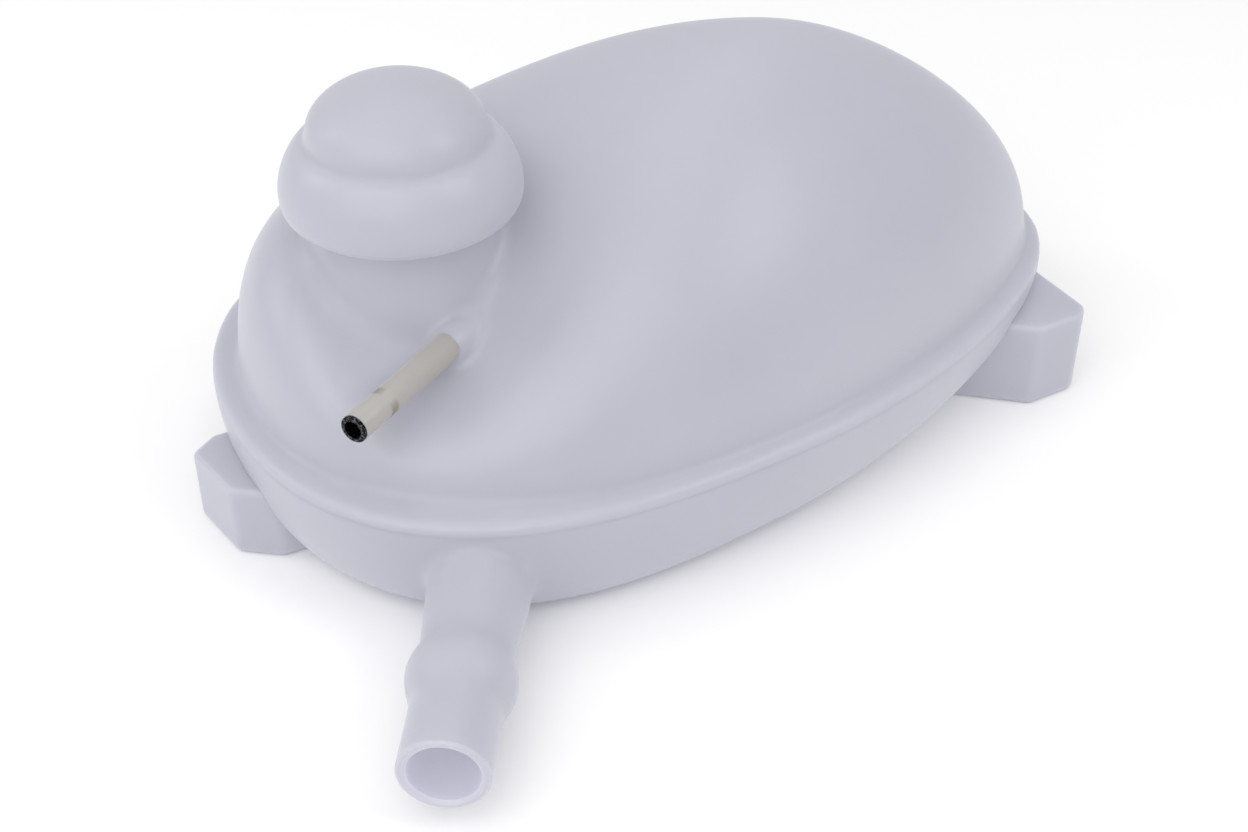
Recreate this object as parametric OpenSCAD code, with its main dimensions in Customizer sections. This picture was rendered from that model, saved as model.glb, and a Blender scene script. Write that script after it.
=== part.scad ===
// Coolant expansion tank: two egg-shaped plastic shells welded at a ledge, a filler
// neck with a screwed pressure cap, a bleed nipple, an outlet spigot and two lugs.
// +X runs along the tank to its far end, the neck is at -X, and z = 0 is the base.

/* [Shells] */
// Length of the shells at the weld
body_len = 205.6; // [190:0.2:225]
// Width of the shells at the weld
body_w = 127; // [115:0.5:140]
// How much wider the neck end is than the far end
egg = 0.25; // [0.1:0.01:0.3]
// Height of the weld above the base
weld_h = 27.4; // [25:0.2:32]
// Thickness of each shell's weld flange
flange_t = 2.7; // [2:0.1:3.5]
// Width of the ledge outside the upper shell, at the neck end
ledge_near = 5.6; // [4:0.1:6]
// Width of that ledge at the far end
ledge_far = 3.6; // [2.4:0.1:6]
// Rise of the upper shell above the ledge
dome_h = 64.4; // [58:0.2:72]
// Shift of the crown towards the far end
crown_x = 14.3; // [5:0.1:20]
// Wall of both shells
wall = 2.6; // [2:0.1:3.2]
// Inset of the base below the long sides
base_in_side = 15.1; // [12:0.1:20]
// Inset of the base at the far end
base_in_far = 32; // [26:0.5:38]
// Inset of the base at the neck end
base_in_near = 8.5; // [6:0.5:14]

/* [Filler neck] */
// Distance of the neck axis from the near end of the tank
neck_inset = 42.8; // [40:0.2:46]
// How much lower the rim of the mouth is than the tank's crown
mouth_drop = 10.5; // [8:0.1:12]
// Radius of the bore that the cap seals in
neck_bore_r = 15.5; // [14:0.1:16.5]
// Wall of the neck above the shell
neck_wall = 2; // [1.6:0.1:2.6]
// Spread of the neck between the cap and its foot
neck_spread = 4.4; // [3:0.1:6]
// Radius of the head that carries the screw thread
thread_r = 20.4; // [20:0.1:21]
// Height of that head
thread_h = 11; // [9:0.2:12]

/* [Bleed nipple] */
// Outside radius of the nipple
nipple_r = 3; // [2.6:0.1:4]
// Bore radius of the nipple
nipple_bore_r = 2.3; // [1.8:0.1:2.4]
// Height of the nipple
nipple_h = 49.5; // [48:0.1:52]
// Length of the nipple from the neck
nipple_len = 32.6; // [24:0.2:40]
// Direction of the nipple in plan, from +X
nipple_turn = 212.9; // [205:0.1:225]
// Distance from the neck axis to the nipple axis
nipple_off = 18.8; // [17:0.1:19.5]
// Straight length at the nipple's end, for a hose
nipple_fit = 16; // [12:0.5:17]
// Length of the metal sleeve in the nipple
sleeve_len = 9.3; // [6:0.1:14]
// Wall of the metal sleeve
sleeve_wall = 0.35; // [0.3:0.05:0.8]

/* [Outlet spigot] */
// Outside radius of the spigot behind its lip
spigot_r = 9; // [8:0.1:10]
// Bore radius of the spigot
spigot_bore_r = 7; // [6:0.1:7.4]
// Height of the spigot axis
spigot_h = 14; // [13:0.2:16]
// Length of the spigot beyond the shell
spigot_len = 47; // [40:0.5:55]
// Direction of the spigot in plan, from +X
spigot_turn = 238.7; // [230:0.1:250]
// Straight length of the spigot beyond the hose bead
spigot_fit = 16.6; // [14:0.2:18]
// Length of the hose bead
bead_len = 14; // [10:0.5:15]
// Height of the hose bead above the spigot
bead_h = 1.4; // [1:0.1:2.5]

/* [Lugs] */
// Height of the lug at the neck end
near_lug_h = 17.5; // [16:0.2:20]
// Width of the lug at the neck end
near_lug_w = 27; // [22:0.5:32]
// Height of the lug at the far end
far_lug_h = 22; // [19:0.2:24]
// Radius of the mounting socket in each lug
socket_r = 4.5; // [3.5:0.1:5]
// Depth of each mounting socket
socket_d = 12; // [8:0.2:13]

/* [Cap] */
// Radius of the cap's skirt
cap_r = 25.3; // [24.9:0.1:28]
// Height of the cap's skirt up to the groove
skirt_h = 16; // [15.2:0.1:18]
// Rise of the domed top
cap_dome_h = 10.8; // [9:0.1:14]
// Radius of the domed top
cap_dome_r = 18.7; // [18:0.1:20]
// Wall of the cap
cap_wall = 2.5; // [2:0.1:2.8]
// Length of the valve housing in the neck
core_len = 21; // [20:0.1:24]
// Radius of the relief port
port_r = 6.5; // [5:0.1:7]
// Wire of the relief spring
relief_wire_r = 0.75; // [0.5:0.05:0.9]
// Wire of the vacuum spring
vacuum_wire_r = 0.25; // [0.2:0.01:0.35]

/* [Hidden] */

milk = [0.80, 0.80, 0.84];
cap_milk = [0.83, 0.83, 0.86];
rubber = [0.72, 0.70, 0.68];
half_len = body_len / 2;
half_w = body_w / 2;
neck_x = half_len - neck_inset;
root_h = weld_h + flange_t;
mouth_h = root_h + dome_h - mouth_drop;
// Squareness of the plan: 2 is an ellipse
plan_power = 2.24;
dome_plan_power = 2.09;
// How much slimmer than an ellipse the upper shell's profile is, at its far end and at its
// neck end, and how closely the second keeps to that end
far_slim = 0.31;
neck_slim = -0.5;
slim_spread = 3;
// Dips in the upper shell, by place, depth and spread: a wide one around the neck and a
// small one below the nipple
saddle_at = [10 - neck_x, -16];
saddle_d = 29;
saddle_spread = [38, 54];
hollow_at = [-neck_x - 10, -27];
hollow_d = 18;
hollow_spread = [24, 24];
sides = 64;
levels = 11;
// Small gap that keeps neighbouring pieces apart, and a running gap
gap = 0.3;
run = 0.05;
overcut = 1;

// One point of the egg-shaped plan
function sgn_pow(v, p) = sign(v) * pow(abs(v), p);
function egg_point(t, a, b, power) = [a * sgn_pow(cos(t), 2 / power),
    b * sgn_pow(sin(t), 2 / power) * (1 - egg * cos(t))];
function angle(i) = 360 * i / sides;

// Rings of the upper shell: each is the plan, shrunk and slid towards the crown, with the
// dips by the neck taken off its height
function ledge(t) = (ledge_far + ledge_near) / 2 + (ledge_far - ledge_near) / 2 * cos(t);
function slim(t) = far_slim + (neck_slim - far_slim) * pow((1 - cos(t)) / 2, slim_spread);
function dip(x, y, place, depth, spread) =
    depth * exp(-pow((x - place[0]) / spread[0], 2) - pow((y - place[1]) / spread[1], 2));
function dips(x, y, u) = dip(x, y, saddle_at, saddle_d, saddle_spread) * sin(u)
    + dip(x, y, hollow_at, hollow_d, hollow_spread) * (1 - pow(1 - sin(u), 3));
function dome_ring(u, inset) = [for (i = [0:sides - 1])
    let (t = angle(i), edge = ledge(t) + inset,
        p = egg_point(t, half_len - edge, half_w - edge, dome_plan_power),
        s = cos(u) * (1 - slim(t) * pow(sin(u), 2)),
        x = p[0] * s + crown_x * pow(sin(u), 2),
        y = p[1] * s)
    [x, y, root_h + (dome_h - inset) * sin(u) - dips(x, y, u)]];

// Rings of the lower shell: a quarter ellipse from the weld in to the base
function base_inset(t) = base_in_side + (base_in_far - base_in_near) / 2 * cos(t)
    + ((base_in_far + base_in_near) / 2 - base_in_side) * pow(cos(t), 2);
function bowl_ring(u, inset) = [for (i = [0:sides - 1])
    let (t = angle(i), p = egg_point(t, half_len - inset, half_w - inset, plan_power),
        s = 1 - (1 - cos(u)) * base_inset(t) / half_w)
    [p[0] * s, p[1] * s, inset + (weld_h - inset) * (1 - sin(u))]];
function flange_ring(z, inset) = [for (i = [0:sides - 1])
    let (p = egg_point(angle(i), half_len - inset, half_w - inset, plan_power)) [p[0], p[1], z]];

// A closed solid through rings of points that run upwards
module loft(rings) {
    n = len(rings[0]);
    last = len(rings) - 1;
    points = [for (r = rings) each r];
    walls = [for (k = [0:last - 1], i = [0:n - 1])
        let (a = k * n + i, b = k * n + (i + 1) % n) each [[a, a + n, b], [b, a + n, b + n]]];
    bottom = [for (i = [0:n - 1]) i];
    top = [for (i = [n - 1:-1:0]) last * n + i];
    polyhedron(points, concat([bottom], walls, [top]));
}

dome_angles = [for (k = [0:levels]) 86 * pow(k / levels, 1.05)];
bowl_angles = [for (k = [levels:-1:0]) 90 * k / levels];

module dome_solid(inset) {
    loft([for (u = dome_angles) dome_ring(u, inset)]);
}

module bowl_solid(inset) {
    loft([for (u = bowl_angles) bowl_ring(u, inset)]);
}

// Spigot and nipple lie along their own X axes
module along(point, turn) {
    translate(point) rotate([0, 0, turn]) rotate([0, 90, 0]) children();
}

// Where the spigot's axis leaves the shell
spigot_root = [30.5 - half_len, 3.3 - half_w, spigot_h];
spigot_back = 22;

module spigot_outside() {
    bead_end = spigot_len - spigot_fit;
    root_r = spigot_r + 1.9;
    profile = concat([[0, -spigot_back], [root_r, -spigot_back], [root_r, 0],
        [spigot_r + 0.7, bead_end - bead_len]],
        [for (k = [1:7]) [spigot_r + 0.35 * (2 - k / 4) + bead_h * sin(22.5 * k) * (0.9 + 0.02 * k),
            bead_end - bead_len + bead_len * k / 8]],
        [[spigot_r, bead_end], [spigot_r, spigot_len - 0.4], [spigot_r - 0.4, spigot_len], [0, spigot_len]]);
    along(spigot_root, spigot_turn) rotate_extrude($fn = 48) polygon(profile);
}

module spigot_bore() {
    along(spigot_root, spigot_turn)
        translate([0, 0, -spigot_back - 4])
            cylinder(r = spigot_bore_r, h = spigot_len + spigot_back + 5, $fn = 48);
}

// Lugs under the flange, with chamfered corners and a socket from below
near_lug_x = -half_len - 7.7;
near_socket = [near_lug_x + 10, 0.5];
far_lug_at = [half_len - 8.8, -half_w / 2];
far_socket = [far_lug_at[0] - 10, far_lug_at[1] - 0.25];

module near_lug() {
    w = near_lug_w / 2;
    linear_extrude(near_lug_h) polygon([[near_lug_x + 30, w], [near_lug_x + 6, w], [near_lug_x, w - 6],
        [near_lug_x, 9 - w], [near_lug_x + 10, -w], [near_lug_x + 30, -w]]);
}

module far_lug() {
    translate(far_lug_at) linear_extrude(far_lug_h)
        polygon([[0, 19.8], [1, -7.2], [-2, -10.2], [-14, -10.6], [-28, 1.8], [-30, 19.8]]);
}

module socket(place) {
    translate([place[0], place[1], -overcut]) cylinder(r = socket_r, h = socket_d + overcut, $fn = 40);
}

module lower_shell() {
    color(milk) difference() {
        union() {
            loft([flange_ring(weld_h - flange_t, 0.4), flange_ring(weld_h - flange_t / 2, 0),
                flange_ring(weld_h, 0)]);
            bowl_solid(0);
            spigot_outside();
            near_lug();
            far_lug();
        }
        bowl_solid(wall);
        translate([0, 0, weld_h - 0.01]) linear_extrude(2) square(300, center = true);
        spigot_bore();
        socket(near_socket);
        socket(far_socket);
    }
}

// Neck: a cone that grows out of the shell, a head for the screw thread, and its bore
neck_top_r = neck_bore_r + neck_wall;
head_z = mouth_h - thread_h;
neck_foot_h = root_h + 4;
neck_cone_top = head_z - 4;

module neck_outside() {
    translate([-neck_x, 0, 0]) rotate_extrude($fn = 72) polygon([[0, neck_foot_h],
        [neck_top_r + neck_spread, neck_foot_h], [neck_top_r, neck_cone_top], [neck_top_r, head_z - 2],
        [thread_r, head_z], [thread_r, mouth_h - 0.6], [thread_r - 0.6, mouth_h], [0, mouth_h]]);
}

module neck_bore() {
    translate([-neck_x, 0, 0]) rotate_extrude($fn = 72) polygon([[0, neck_foot_h - 6],
        [neck_bore_r + neck_spread - 0.4, neck_foot_h - 6], [neck_bore_r + neck_spread - 0.4, neck_foot_h],
        [neck_bore_r, neck_cone_top - 3], [neck_bore_r, mouth_h - 0.8],
        [neck_bore_r + 0.8, mouth_h], [neck_bore_r + 0.8, mouth_h + overcut], [0, mouth_h + overcut]]);
}

// Root of the nipple: the point of its axis nearest to the neck axis
nipple_root = [-neck_x - nipple_off * sin(nipple_turn), nipple_off * cos(nipple_turn), nipple_h];
nipple_run = nipple_len + 12.7;

nipple_draft = 0.35;

module nipple_outside() {
    along(nipple_root, nipple_turn) rotate_extrude($fn = 36) polygon([[0, 0], [nipple_r + nipple_draft, 0],
        [nipple_r, nipple_run - nipple_fit], [nipple_r, nipple_run - 0.3], [nipple_r - 0.2, nipple_run],
        [0, nipple_run]]);
}

// Bore of the nipple, and the port that joins it to the bore of the neck
module nipple_bore() {
    along(nipple_root, nipple_turn) translate([0, 0, 1])
        cylinder(r = nipple_bore_r, h = nipple_run, $fn = 36);
    along([-neck_x, 0, nipple_h], nipple_turn + 90)
        cylinder(r = nipple_bore_r, h = nipple_off, $fn = 36);
}

sleeve_bore_r = nipple_bore_r - sleeve_wall;
sleeve_rim_r = nipple_r - 0.05;
sleeve_rim_t = 0.7;

module upper_shell() {
    color(milk) difference() {
        union() {
            loft([flange_ring(weld_h, 0), flange_ring(weld_h + flange_t / 2, 0), flange_ring(root_h, 0.4)]);
            dome_solid(0);
            neck_outside();
            nipple_outside();
        }
        translate([0, 0, -0.01]) dome_solid(wall);
        loft([flange_ring(weld_h - overcut, wall + ledge_near),
            flange_ring(root_h + 0.02, wall + ledge_near)]);
        neck_bore();
        nipple_bore();
    }
}

module nipple_sleeve() {
    along(nipple_root, nipple_turn) color("dimgray") translate([0, 0, nipple_run])
        rotate_extrude($fn = 36) polygon([[sleeve_bore_r, -sleeve_len], [nipple_bore_r, -sleeve_len],
            [nipple_bore_r, 0], [sleeve_rim_r, 0], [sleeve_rim_r, sleeve_rim_t * 0.7],
            [sleeve_rim_r - 0.2, sleeve_rim_t], [sleeve_bore_r, sleeve_rim_t]]);
}

// Cap: heights from the rim of the mouth
skirt_drop = 12;
skirt_z = mouth_h - skirt_drop;
groove_z = skirt_z + skirt_h;
dome_z = groove_z + 0.6;
flange_z = mouth_h;
core_flange_t = 2;
lip_z = flange_z + core_flange_t + gap;
lip_top = lip_z + 2.3;
lip_r = 14.6;
shoulder_z = skirt_z + 5.2;
shoulder_round = 1.7;
shoulder_r = cap_dome_r + 0.4;
// Rounding of the skirt's lower edge
edge_r = cap_wall - 0.4;
edge_h = 3.4;

function arc(rx, rz, x, z, a0, a1, n) = [for (k = [0:n]) let (t = a0 + (a1 - a0) * k / n)
    [x + rx * cos(t), z + rz * sin(t)]];

module cap_shell() {
    outside = concat(arc(edge_r, edge_h, cap_r - edge_r, skirt_z + edge_h, -90, 0, 6),
        [for (k = [0:8]) let (t = 10.5 * k) [shoulder_r + (cap_r - shoulder_r) * pow(cos(t), shoulder_round),
            shoulder_z + (groove_z - shoulder_z) * pow(sin(t), shoulder_round)]],
        [[shoulder_r, groove_z], [cap_dome_r - 0.2, dome_z - 0.2]],
        arc(cap_dome_r, cap_dome_h, 0, dome_z, 3, 90, 12));
    inner_skirt_r = cap_r - cap_wall;
    inside = concat(arc(cap_dome_r - cap_wall, cap_dome_h - cap_wall, 0, dome_z, 90, 0, 10),
        [[cap_dome_r - cap_wall, lip_top], [lip_r, lip_top], [lip_r, lip_z], [shoulder_r - 0.2, lip_z]],
        arc(inner_skirt_r - shoulder_r + 0.2, lip_z - shoulder_z - 0.2,
            shoulder_r - 0.2, shoulder_z, 80, 0, 6),
        [[inner_skirt_r, skirt_z]]);
    color(cap_milk) translate([-neck_x, 0, 0]) rotate_extrude($fn = 96) polygon(concat(outside, inside));
}

// Valve housing: a cup in the neck, hung from the cap's lip by its bead
core_r = neck_bore_r - 0.6;
core_in_r = core_r - 3.9;
core_z = mouth_h - core_len;
core_floor = 2.5;
seat_z = core_z + core_floor + 0.8;
ring_r = 1.6;
ring_z = core_z + 7;
ring_mid_r = neck_bore_r - run - ring_r;
tube_r = lip_r - 0.4;
bead_r = lip_r + 1;
bead_z = lip_top + gap;

module valve_housing() {
    groove_r = ring_mid_r - ring_r - run;
    color("white") translate([-neck_x, 0, 0]) difference() {
        rotate_extrude($fn = 72) polygon([[port_r, core_z], [core_r - 0.5, core_z], [core_r, core_z + 0.5],
            [core_r, ring_z - ring_r - 0.1], [groove_r, ring_z - ring_r - 0.1],
            [groove_r, ring_z + ring_r + 0.1], [core_r, ring_z + ring_r + 0.1],
            [core_r, flange_z], [lip_r + 4, flange_z],
            [lip_r + 4, flange_z + core_flange_t], [tube_r, flange_z + core_flange_t], [tube_r, bead_z],
            [bead_r, bead_z], [bead_r - 0.8, bead_z + 1.4], [tube_r - 1.8, bead_z + 1.4],
            [tube_r - 1.8, flange_z + core_flange_t], [core_in_r, flange_z + core_flange_t],
            [core_in_r, core_z + core_floor], [port_r + 2.2, core_z + core_floor], [port_r + 1.8, seat_z],
            [port_r + 1.2, seat_z], [port_r, core_z + core_floor]]);
        for (k = [0:3]) rotate([0, 0, 90 * k + 45]) translate([0, 0, ring_z + 6]) rotate([0, 90, 0])
            cylinder(r = 1.5, h = core_r + 2, $fn = 24);
    }
}

module neck_o_ring() {
    color(rubber) translate([-neck_x, 0, ring_z]) rotate_extrude($fn = 72)
        translate([ring_mid_r, 0]) circle(r = ring_r, $fn = 24);
}

// Relief valve: seal and plate on the seat, under the relief spring
seal_t = 1.2;
plate_t = 2;
plate_r = port_r + 3.2;
plate_z = seat_z + seal_t;
stem_r = 1.4;
poppet_r = port_r - 2.5;
retainer_t = 1.6;
retainer_z = flange_z + core_flange_t - retainer_t - 0.4;
spring_mid_r = plate_r - relief_wire_r - 0.6;

module relief_seal() {
    color(rubber) translate([-neck_x, 0, seat_z]) difference() {
        cylinder(r = plate_r - 0.4, h = seal_t, $fn = 48);
        translate([0, 0, -overcut]) cylinder(r = poppet_r + 0.8, h = seal_t + 2 * overcut, $fn = 48);
    }
}

module relief_plate() {
    color("silver") translate([-neck_x, 0, plate_z]) rotate_extrude($fn = 48)
        polygon([[stem_r + run, 0], [plate_r, 0], [plate_r, plate_t], [plate_r - 1.9, plate_t],
            [plate_r - 2.6, plate_t * 0.55], [stem_r + 1.8, plate_t * 0.55], [stem_r + 1.8, plate_t],
            [stem_r + run, plate_t]]);
}

// The vacuum valve opens downwards, against a light spring on top of the plate
vacuum_head_z = plate_z + plate_t + 4.5;

module vacuum_valve() {
    color("silver") translate([-neck_x, 0, 0]) rotate_extrude($fn = 48)
        polygon([[0, plate_z - 1.5], [poppet_r - 0.3, plate_z - 1.5], [poppet_r, plate_z - 1.2],
            [poppet_r, plate_z - 0.02], [stem_r, plate_z - 0.02], [stem_r, vacuum_head_z],
            [stem_r + 1.5, vacuum_head_z], [stem_r + 1.5, vacuum_head_z + 0.8], [stem_r, vacuum_head_z + 1],
            [0, vacuum_head_z + 1]]);
}

// A round wire wound from z0 to z1, with closed end turns
module coil_spring(mid_r, wire_r, z0, z1, turns, steps, ring_sides) {
    low = z0 + wire_r;
    high = z1 - wire_r;
    count = turns * steps;
    e = 1 / turns;
    closed_rise = 2.3 * wire_r / (high - low);
    function rise(v) = v < e ? closed_rise * v / e : v > 1 - e ? 1 - closed_rise * (1 - v) / e
        : closed_rise + (1 - 2 * closed_rise) * (v - e) / (1 - 2 * e);
    function middle(k) = let (v = k / count) [mid_r, 360 * turns * v, low + (high - low) * rise(v)];
    rings = [for (k = [0:count]) let (m = middle(k)) [for (j = [0:ring_sides - 1])
        let (a = 360 * j / ring_sides, r = m[0] + wire_r * cos(a))
        [r * cos(m[1]), r * sin(m[1]), m[2] + wire_r * sin(a)]]];
    points = [for (r = rings) each r];
    n = ring_sides;
    walls = [for (k = [0:count - 1], j = [0:n - 1])
        let (a = k * n + j, b = k * n + (j + 1) % n) each [[a, b, a + n], [b, b + n, a + n]]];
    start = [for (j = [n - 1:-1:0]) j];
    finish = [for (j = [0:n - 1]) count * n + j];
    polyhedron(points, concat([start], walls, [finish]));
}

module relief_spring() {
    color("silver") translate([-neck_x, 0, 0])
        coil_spring(spring_mid_r, relief_wire_r, plate_z + plate_t, retainer_z, 5, 20, 8);
}

module vacuum_spring() {
    color("silver") translate([-neck_x, 0, 0])
        coil_spring(stem_r + 0.65, vacuum_wire_r, plate_z + plate_t, vacuum_head_z, 4, 14, 6);
}

module spring_retainer() {
    color("white") translate([-neck_x, 0, retainer_z]) difference() {
        cylinder(r = core_in_r, h = retainer_t, $fn = 48);
        translate([0, 0, -overcut]) cylinder(r = stem_r + 2.4, h = retainer_t + 2 * overcut, $fn = 36);
        for (k = [0:5]) rotate([0, 0, 60 * k]) translate([6.2, 0, -overcut])
            cylinder(r = 0.9, h = retainer_t + 2 * overcut, $fn = 20);
    }
}

lower_shell();
upper_shell();
nipple_sleeve();
cap_shell();
valve_housing();
neck_o_ring();
spring_retainer();
relief_spring();
relief_plate();
relief_seal();
vacuum_valve();
vacuum_spring();
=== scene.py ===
# %% [markdown]
# # A milky coolant expansion tank
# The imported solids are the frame: they say where every piece is and how it moves. This file gives
# them the soft, moulded look of the real tank. Everything is in metres, in the frame of the solids:
# +X runs along the tank, the filler neck is at -X, and z = 0 is the plane the tank stands on.

# %% Load the frame
import bpy
import bmesh
import numpy as np
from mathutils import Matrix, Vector


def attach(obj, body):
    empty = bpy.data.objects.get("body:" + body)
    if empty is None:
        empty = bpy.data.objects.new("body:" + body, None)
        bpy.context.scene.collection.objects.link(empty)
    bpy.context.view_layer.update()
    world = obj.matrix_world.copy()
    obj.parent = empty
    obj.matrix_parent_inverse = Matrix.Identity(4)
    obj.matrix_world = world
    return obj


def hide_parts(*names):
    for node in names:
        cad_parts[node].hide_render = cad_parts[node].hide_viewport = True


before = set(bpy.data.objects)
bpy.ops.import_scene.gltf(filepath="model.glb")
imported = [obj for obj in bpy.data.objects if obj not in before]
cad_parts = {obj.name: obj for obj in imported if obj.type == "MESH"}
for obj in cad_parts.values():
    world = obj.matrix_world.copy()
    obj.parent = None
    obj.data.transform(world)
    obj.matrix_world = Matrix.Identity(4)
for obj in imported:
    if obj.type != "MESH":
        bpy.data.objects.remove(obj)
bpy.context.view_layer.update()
scene = bpy.context.scene
print("solids:", sorted(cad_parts))

# %% [markdown]
# The real tank is two moulded shells, welded along a flange. Seen from above it is an egg: a
# superellipse, which is an ellipse with fuller corners, whose half width grows towards the neck end.
# Each size is a real one in metres, or a plain ratio, and every shape below is worked out from them.

# %% The plan of the tank
HALF_LENGTH, HALF_WIDTH = 0.1028, 0.0635  # out to the edge of the weld flange
EGG = 0.25  # how much fuller the neck end is
PLAN_POWER = 2.24  # 2 is an ellipse, more is squarer
WELD_Z = 0.0274  # the plane where the shells meet
FLANGE_T = 0.0027  # thickness of each shell's flange
ROOT_Z = WELD_Z + FLANGE_T
AROUND = np.linspace(0, 2 * np.pi, 256, endpoint=False)


def signed_power(v, p):
    """|v| to the power p, with the sign of v."""
    return np.sign(v) * np.abs(v) ** p


def egg_plan(t, half_length, half_width, power):
    """A superellipse at angle t, whose y grows by 1 - EGG cos t, so that it is widest near the neck."""
    x = half_length * signed_power(np.cos(t), 2 / power)
    y = half_width * signed_power(np.sin(t), 2 / power) * (1 - EGG * np.cos(t))
    return x, y


plan_x, plan_y = egg_plan(AROUND, HALF_LENGTH, HALF_WIDTH, PLAN_POWER)
print("plan:", np.ptp(plan_x).round(4), "x", np.ptp(plan_y).round(4), "m")

# %% [markdown]
# Every new piece is a surface on a grid: one parameter runs along it and one runs round it. It could
# be drawn by hand with extrusions, but each change of a size would then mean drawing it again. One
# helper turns such a grid of points into a closed mesh, so that each piece is only a formula.

# %% From a grid of points to a mesh
MERGE_DISTANCE = 1e-6


def grid_mesh(name, points, wrap_rows=False):
    """Points has the shape rows x columns x 3. The columns close on themselves; the rows close too
    with wrap_rows, or else end in a fan round the mean of the first and the last row."""
    rows, cols = points.shape[:2]
    index = np.arange(rows * cols).reshape(rows, cols)
    lower = index if wrap_rows else index[:-1]
    upper = np.roll(index, -1, 0) if wrap_rows else index[1:]
    corners = [lower, np.roll(lower, -1, 1), np.roll(upper, -1, 1), upper]
    faces = np.stack(corners, -1).reshape(-1, 4).tolist()
    flat = points.reshape(-1, 3)
    if not wrap_rows:
        flat = np.vstack([flat, points[0].mean(0), points[-1].mean(0)])
        first, last = index[0], index[-1]
        faces += np.stack([np.roll(first, -1), first, np.full(cols, rows * cols)], -1).tolist()
        faces += np.stack([last, np.roll(last, -1), np.full(cols, rows * cols + 1)], -1).tolist()
    mesh = bpy.data.meshes.new(name)
    mesh.from_pydata(flat.tolist(), [], faces)
    mesh.update()
    piece = bpy.data.objects.new(name, mesh)
    scene.collection.objects.link(piece)
    return piece


def outward(piece):
    """Merges doubles and turns all faces outwards, then shades the piece smooth."""
    work = bmesh.new()
    work.from_mesh(piece.data)
    bmesh.ops.remove_doubles(work, verts=work.verts, dist=MERGE_DISTANCE)
    bmesh.ops.recalc_face_normals(work, faces=work.faces)
    work.to_mesh(piece.data)
    work.free()
    piece.data.polygons.foreach_set("use_smooth", np.ones(len(piece.data.polygons), bool))
    return piece


def select_only(pieces):
    """Selects these pieces alone, with the first one active, as Blender's operators ask."""
    bpy.ops.object.select_all(action="DESELECT")
    for piece in pieces:
        piece.select_set(True)
    bpy.context.view_layer.objects.active = pieces[0]


print("points closer than", MERGE_DISTANCE, "m are merged")

# %% [markdown]
# The upper shell is a stack of egg-shaped rings that shrink towards a crown, faster at the far end
# than at the neck end. Two dips sink it: a wide saddle round the neck, and a smaller hollow below the
# bleed nipple, where the hose needs room. Sculpting gives such a form too, but not twice the same.

# %% The dome's formula
LEDGE_NEAR, LEDGE_FAR = 0.0056, 0.0036  # how wide the ledge is at the two ends
DOME_POWER = 2.09
DOME_RISE = 0.0644
CROWN_X = 0.0143
FAR_SLIM, NECK_SLIM, SLIM_SPREAD = 0.31, -0.47, 3
SADDLE = ((-0.050, -0.016), 0.0275, (0.038, 0.054))  # place, depth, spread
HOLLOW = ((-0.070, -0.027), 0.018, (0.024, 0.024))


def dip(x, y, place, depth, spread):
    """An oval hollow: depth times exp(-(dx / spread x) squared - (dy / spread y) squared)."""
    return depth * np.exp(-(((x - place[0]) / spread[0]) ** 2) - ((y - place[1]) / spread[1]) ** 2)


def dome(u, t, inset=0.0):
    """Ring u runs from the root (0) to the crown (pi/2): the plan is scaled by cos u (1 - slim sin2 u)
    and slid by CROWN_X sin2 u, its height is the rise times sin u, less the two dips."""
    edge = (LEDGE_FAR + LEDGE_NEAR) / 2 + (LEDGE_FAR - LEDGE_NEAR) / 2 * np.cos(t) + inset
    x, y = egg_plan(t, HALF_LENGTH - edge, HALF_WIDTH - edge, DOME_POWER)
    slim = FAR_SLIM + (NECK_SLIM - FAR_SLIM) * ((1 - np.cos(t)) / 2) ** SLIM_SPREAD
    scale = np.cos(u) * (1 - slim * np.sin(u) ** 2)
    x = x * scale + CROWN_X * np.sin(u) ** 2
    y = y * scale
    sink = dip(x, y, *SADDLE) * np.sin(u)
    sink = sink + dip(x, y, *HOLLOW) * (1 - (1 - np.sin(u)) ** 3)
    return np.stack([x, y, ROOT_Z + (DOME_RISE - inset) * np.sin(u) - sink], -1)


print("crown:", dome(np.array(np.pi / 2), np.array(0.0)).round(4))

# %% [markdown]
# The lower shell is a shallow bowl: each cut through it is a quarter of an ellipse, which gives a
# moulding its draft and its round bottom edge. The weld flange is a plain band with the same plan.

# %% The bowl's and the flange's formulas
BASE_SIDE, BASE_FAR, BASE_NEAR = 0.0151, 0.032, 0.0085  # how far in the base lies


def bowl(u, t):
    """A quarter ellipse from the weld (u = 0) in and down to the base (u = pi/2), with a base that
    lies further in at the far end than at the neck end."""
    x, y = egg_plan(t, HALF_LENGTH, HALF_WIDTH, PLAN_POWER)
    base = BASE_SIDE + (BASE_FAR - BASE_NEAR) / 2 * np.cos(t)
    base = base + ((BASE_FAR + BASE_NEAR) / 2 - BASE_SIDE) * np.cos(t) ** 2
    scale = 1 - (1 - np.cos(u)) * base / HALF_WIDTH
    x, y = x * scale, y * scale
    return np.stack([x, y, np.broadcast_to(WELD_Z * (1 - np.sin(u)), x.shape)], -1)


def flange(heights, t):
    """The plan's outline, repeated at each height."""
    x, y = egg_plan(t, HALF_LENGTH, HALF_WIDTH, PLAN_POWER)
    return np.stack([np.stack([x, y, np.full_like(t, z)], -1) for z in heights])


print("base corner at the far end:", bowl(np.array(np.pi / 2), np.array(0.0)).round(4))

# %% [markdown]
# The neck, the nipple, the spigot, the cap and all the bores are turned shapes: a profile that is
# spun round an axis. Blender has a Screw modifier for this, but a formula also sets the axis level,
# at any angle, with the piece's object left at the origin.

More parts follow.
